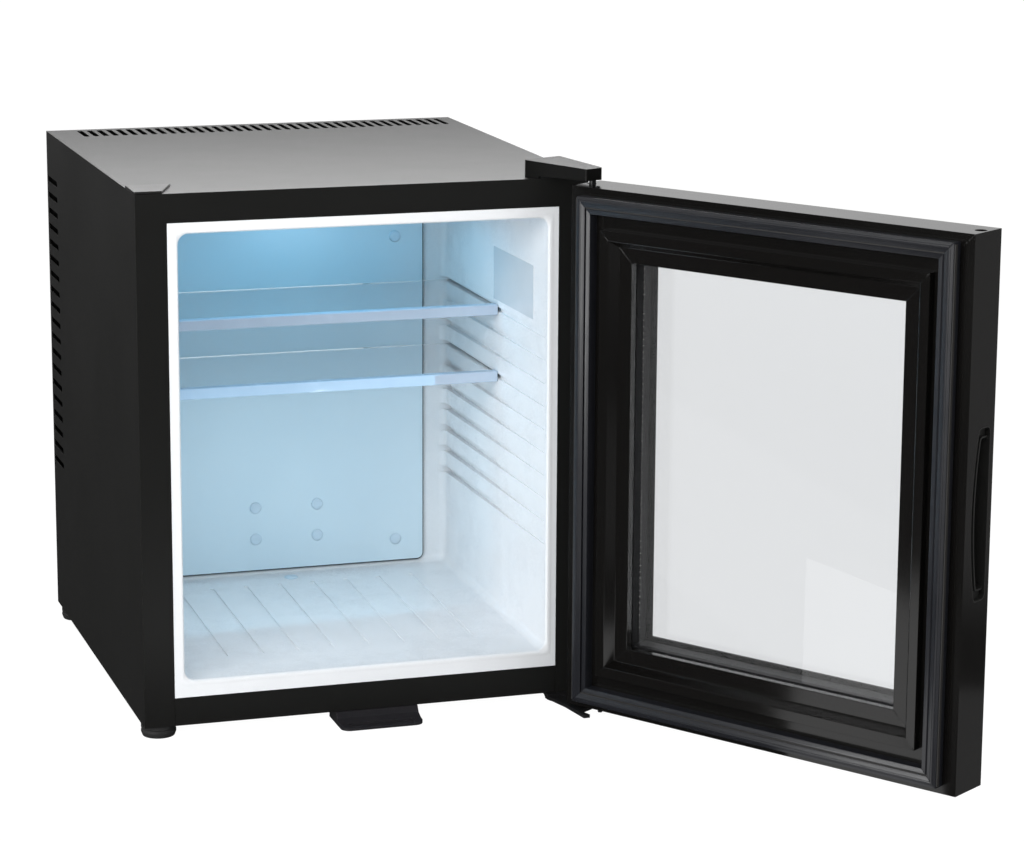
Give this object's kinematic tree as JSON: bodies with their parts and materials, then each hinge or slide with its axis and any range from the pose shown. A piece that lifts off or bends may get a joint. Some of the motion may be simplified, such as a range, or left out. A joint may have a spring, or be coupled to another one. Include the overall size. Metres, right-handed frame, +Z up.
{
  "type": "glass door minibar fridge",
  "caption": "small free-standing fridge with a right-hinged double-glazed door, a formed white cabin with guide grooves, and sliding glass shelves",
  "frame": {"origin": "on the floor, on the underside of the stabiliser foot, below the middle of the cabinet's front bottom edge", "axes": "+Z up, +Y to the back, the front faces -Y, +X to the right seen from the front"},
  "size_m": [0.673, 0.8599, 0.529],
  "materials": {
    "shell_black": "satin",
    "pan_grey": "satin",
    "liner_white": "satin",
    "trim_white": "satin",
    "plate_white": "satin",
    "cap_white": "satin",
    "foam_cream": "matte",
    "lens_clear": "gloss",
    "board_white": "satin",
    "label_white": "satin",
    "hinge_steel": "satin",
    "hinge_black": "satin",
    "cover_black": "satin",
    "cap_black": "satin",
    "block_aluminium": "satin",
    "module_white": "matte",
    "control_black": "matte",
    "inlet_black": "satin",
    "foot_black": "matte",
    "shoe_black": "satin",
    "door_black": "gloss",
    "glass_clear": "polished",
    "spacer_grey": "satin",
    "gasket_grey": "satin",
    "magnet_black": "matte",
    "bush_black": "satin"
  },
  "bodies": {
    "cabinet": {"outer_shell": "shell_black", "bottom_rail": "shell_black", "base_pan": "pan_grey", "rear_panel": "shell_black", "rear_panel_screws": "hinge_steel", "inner_liner": "liner_white", "insulation_foam": "foam_cream", "cooling_plate": "plate_white", "plate_screw_caps": "cap_white", "lamp_housing": "liner_white", "lamp_board": "board_white", "lamp_lens": "lens_clear", "rating_label": "label_white", "drain_plug": "cap_white", "cold_block": "block_aluminium", "peltier_module": "module_white", "hot_side_heatsink": "block_aluminium", "control_box": "control_black", "power_inlet": "inlet_black", "foot_front_left": "foot_black", "foot_front_right": "foot_black", "foot_rear_left": "foot_black", "foot_rear_right": "foot_black", "stabiliser_foot": "shoe_black", "hinge_top_bracket": "hinge_black", "hinge_top_cover": "cover_black", "hinge_top_pin": "hinge_black", "hinge_top_screws": "hinge_steel", "hinge_bottom_bracket": "hinge_black", "hinge_bottom_pin": "hinge_black", "hinge_bottom_screws": "hinge_steel", "hinge_hole_cap": "cap_black"},
    "door": {"frame_top": "door_black", "frame_bottom": "door_black", "frame_free_side": "door_black", "frame_hinge_side": "door_black", "bead_top": "door_black", "bead_bottom": "door_black", "bead_free_side": "door_black", "bead_hinge_side": "door_black", "outer_pane": "glass_clear", "inner_pane": "glass_clear", "glazing_spacer": "spacer_grey", "door_gasket": "gasket_grey", "gasket_magnets": "magnet_black", "finger_pull": "cap_black", "hinge_bushes": "bush_black", "spare_bushes": "bush_black", "door_stop_peg": "hinge_black"},
    "shelf_upper": {"shelf_upper_glass": "glass_clear", "shelf_upper_trim": "trim_white"},
    "shelf_lower": {"shelf_lower_glass": "glass_clear", "shelf_lower_trim": "trim_white"}
  },
  "joints": [
    {"name": "door_hinge", "type": "hinge", "parent": "cabinet", "child": "door", "pos_m": [0.2075, -0.0333, 0.26175], "axis": [0, 0, 1], "range_deg": [-123.4, 6]},
    {"name": "shelf_upper_slide", "type": "slide", "parent": "cabinet", "child": "shelf_upper", "axis": [0, -1, 0], "range_m": [0, 0.145]},
    {"name": "shelf_lower_slide", "type": "slide", "parent": "cabinet", "child": "shelf_lower", "axis": [0, -1, 0], "range_m": [0, 0.145]}
  ]
}
